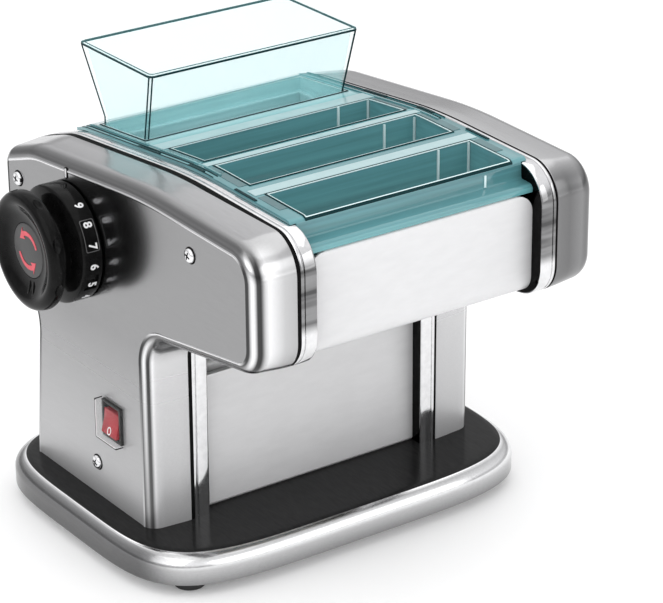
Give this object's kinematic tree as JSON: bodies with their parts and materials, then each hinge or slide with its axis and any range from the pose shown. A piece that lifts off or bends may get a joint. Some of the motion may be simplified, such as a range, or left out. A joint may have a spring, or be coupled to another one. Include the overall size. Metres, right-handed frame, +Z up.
{
  "type": "electric pasta machine",
  "caption": "Countertop electric pasta machine: steel side housings on a base tray, roller head with slotted clear guard, clear dough hopper, thickness knob and rocker switch.",
  "frame": {"origin": "middle of the bounding box's bottom face, on the table under the feet", "axes": "+X along the rollers away from the knob side, -Y towards the noodle outlet at the front, +Z up"},
  "size_m": [0.3086, 0.2964, 0.2992],
  "materials": {
    "brushed_steel_cover": "satin, fine grain",
    "chrome_frame": "die-cast, polished and chrome plated",
    "polished_panel": "bright, almost mirror",
    "bright_screw": "polished",
    "zinc_steel": "plain",
    "roller_steel": "ground",
    "gear_steel": "machined",
    "nylon_gear": "moulded",
    "bronze": "sintered",
    "black_gloss": "gloss",
    "black_plastic": "satin",
    "grey_emblem": "satin",
    "red_plastic": "gloss",
    "clear_boot": "clear",
    "teal_clear": "clear, tinted",
    "pale_clear": "clear, faint tint",
    "rubber": "matt",
    "motor_alloy": "cast",
    "copper_winding": "lacquered wire and laminations",
    "rotor_steel": "laminated",
    "capacitor_plastic": "plain"
  },
  "bodies": {
    "chassis": {"base_tray": "brushed_steel_cover", "base_plate": "zinc_steel", "rubber_feet": "rubber", "foot_screws": "bright_screw", "frame_screws": "bright_screw", "left_end_frame": "chrome_frame", "right_end_frame": "chrome_frame", "tie_rods": "zinc_steel", "tie_rod_nuts": "bright_screw", "front_panel": "polished_panel", "rear_panel": "polished_panel", "motor_panel": "polished_panel", "delivery_chute": "polished_panel", "left_side_cover": "brushed_steel_cover", "right_side_cover": "brushed_steel_cover", "cover_standoffs": "zinc_steel", "left_cover_screws": "bright_screw", "right_cover_screws": "bright_screw", "cord_gland": "black_plastic", "switch_housing": "black_plastic", "switch_boot": "clear_boot", "roller_bushes": "bronze", "cutter_bushes": "bronze", "cutter_scrapers": "nylon_gear", "idler_pins": "zinc_steel", "gear_bridge": "zinc_steel", "motor_housing": "motor_alloy", "motor_end_caps": "motor_alloy", "motor_stator": "copper_winding", "motor_cradle": "zinc_steel", "run_capacitor": "capacitor_plastic", "adjuster_bridge": "zinc_steel", "detent_spring": "zinc_steel"},
    "switch": {"switch_rocker": "red_plastic"},
    "guard": {"safety_guard": "teal_clear"},
    "hopper": {"dough_hopper": "pale_clear"},
    "fixed_roller_set": {"fixed_roller": "roller_steel", "fixed_roller_gears": "gear_steel"},
    "roller_carriage": {"bearing_blocks": "zinc_steel"},
    "adjusting_roller_set": {"adjusting_roller": "roller_steel", "adjusting_roller_gear": "gear_steel"},
    "narrow_rear": {"narrow_cutter_rear": "roller_steel"},
    "narrow_front": {"narrow_cutter_front": "roller_steel"},
    "medium_rear": {"medium_cutter_rear": "roller_steel"},
    "medium_front": {"medium_cutter_front": "roller_steel"},
    "wide_rear": {"wide_cutter_rear": "roller_steel"},
    "wide_front": {"wide_cutter_front": "roller_steel"},
    "idler_1": {"idler_gear_1": "nylon_gear"},
    "idler_2": {"idler_gear_2": "nylon_gear"},
    "idler_3": {"idler_gear_3": "nylon_gear"},
    "idler_4": {"idler_gear_4": "nylon_gear"},
    "output_shaft": {"output_gears": "gear_steel"},
    "reduction_shaft": {"reduction_gears": "nylon_gear"},
    "rotor": {"motor_rotor": "rotor_steel", "motor_fan": "black_plastic"},
    "adjuster": {"adjuster_spindle": "zinc_steel"},
    "knob": {"thickness_knob": "black_gloss", "knob_emblem": "grey_emblem"}
  },
  "joints": [
    {"name": "motor_spin", "type": "hinge", "parent": "chassis", "child": "rotor", "pos_m": [0.0063, 0.0417, 0.10342], "axis": [1, 0, 0], "continuous": true},
    {"name": "reduction_spin", "type": "hinge", "parent": "chassis", "child": "reduction_shaft", "pos_m": [0.0063, 0.0392, 0.13933], "axis": [1, 0, 0], "continuous": true},
    {"name": "output_spin", "type": "hinge", "parent": "chassis", "child": "output_shaft", "pos_m": [0.0063, 0.0363, 0.183], "axis": [1, 0, 0], "continuous": true},
    {"name": "fixed_roller_spin", "type": "hinge", "parent": "chassis", "child": "fixed_roller_set", "pos_m": [0.0063, 0.0854, 0.1968], "axis": [1, 0, 0], "continuous": true},
    {"name": "knob_turn", "type": "hinge", "parent": "chassis", "child": "adjuster", "pos_m": [-0.1037, 0.0544, 0.1968], "axis": [-1, 0, 0], "range_deg": [0, 199]},
    {"name": "knob_pull", "type": "slide", "parent": "adjuster", "child": "knob", "axis": [-1, 0, 0], "range_m": [0, 0.0035], "stiffness_N_per_m": 500, "springref_m": -0.004},
    {"name": "nip_adjust", "type": "slide", "parent": "chassis", "child": "roller_carriage", "axis": [0, -1, 0], "range_m": [0, 0.0025]},
    {"name": "adjusting_roller_spin", "type": "hinge", "parent": "roller_carriage", "child": "adjusting_roller_set", "pos_m": [0.0063, 0.0552, 0.1968], "axis": [1, 0, 0], "continuous": true},
    {"name": "narrow_rear_spin", "type": "hinge", "parent": "chassis", "child": "narrow_rear", "pos_m": [0.0063, 0.0087, 0.198], "axis": [1, 0, 0], "continuous": true},
    {"name": "narrow_front_spin", "type": "hinge", "parent": "chassis", "child": "narrow_front", "pos_m": [0.0063, -0.0123, 0.198], "axis": [1, 0, 0], "continuous": true},
    {"name": "medium_rear_spin", "type": "hinge", "parent": "chassis", "child": "medium_rear", "pos_m": [0.0063, -0.0403, 0.198], "axis": [1, 0, 0], "continuous": true},
    {"name": "medium_front_spin", "type": "hinge", "parent": "chassis", "child": "medium_front", "pos_m": [0.0063, -0.0613, 0.198], "axis": [1, 0, 0], "continuous": true},
    {"name": "wide_rear_spin", "type": "hinge", "parent": "chassis", "child": "wide_rear", "pos_m": [0.0063, -0.0963, 0.198], "axis": [1, 0, 0], "continuous": true},
    {"name": "wide_front_spin", "type": "hinge", "parent": "chassis", "child": "wide_front", "pos_m": [0.0063, -0.1173, 0.198], "axis": [1, 0, 0], "continuous": true},
    {"name": "idler_1_spin", "type": "hinge", "parent": "chassis", "child": "idler_1", "pos_m": [0.0063, -0.0158, 0.1773], "axis": [1, 0, 0], "continuous": true},
    {"name": "idler_2_spin", "type": "hinge", "parent": "chassis", "child": "idler_2", "pos_m": [0.0063, -0.0368, 0.1773], "axis": [1, 0, 0], "continuous": true},
    {"name": "idler_3_spin", "type": "hinge", "parent": "chassis", "child": "idler_3", "pos_m": [0.0063, -0.0698, 0.1804], "axis": [1, 0, 0], "continuous": true},
    {"name": "idler_4_spin", "type": "hinge", "parent": "chassis", "child": "idler_4", "pos_m": [0.0063, -0.0878, 0.1804], "axis": [1, 0, 0], "continuous": true},
    {"name": "switch_rock", "type": "hinge", "parent": "chassis", "child": "switch", "pos_m": [-0.1153, 0.0132, 0.088], "axis": [0, -1, 0], "range_deg": [0, 14]},
    {"name": "guard_lift", "type": "slide", "parent": "chassis", "child": "guard", "axis": [0, 0, 1], "range_m": [0, 0.06]},
    {"name": "hopper_lift", "type": "slide", "parent": "guard", "child": "hopper", "axis": [0, 0, 1], "range_m": [0, 0.07]}
  ],
  "couplings": [
    {"joint": "reduction_spin", "follows": "motor_spin", "ratio": -0.2},
    {"joint": "output_spin", "follows": "motor_spin", "ratio": 0.05},
    {"joint": "fixed_roller_spin", "follows": "motor_spin", "ratio": -0.035},
    {"joint": "adjusting_roller_spin", "follows": "motor_spin", "ratio": 0.035},
    {"joint": "narrow_rear_spin", "follows": "motor_spin", "ratio": -0.1},
    {"joint": "narrow_front_spin", "follows": "motor_spin", "ratio": 0.1},
    {"joint": "medium_rear_spin", "follows": "motor_spin", "ratio": -0.1},
    {"joint": "medium_front_spin", "follows": "motor_spin", "ratio": 0.1},
    {"joint": "wide_rear_spin", "follows": "motor_spin", "ratio": -0.1},
    {"joint": "wide_front_spin", "follows": "motor_spin", "ratio": 0.1},
    {"joint": "idler_1_spin", "follows": "motor_spin", "ratio": -0.1},
    {"joint": "idler_2_spin", "follows": "motor_spin", "ratio": 0.1},
    {"joint": "idler_3_spin", "follows": "motor_spin", "ratio": -0.11667},
    {"joint": "idler_4_spin", "follows": "motor_spin", "ratio": 0.11667},
    {"joint": "knob_turn", "follows": "nip_adjust", "rad_per_m": 1389.3}
  ]
}
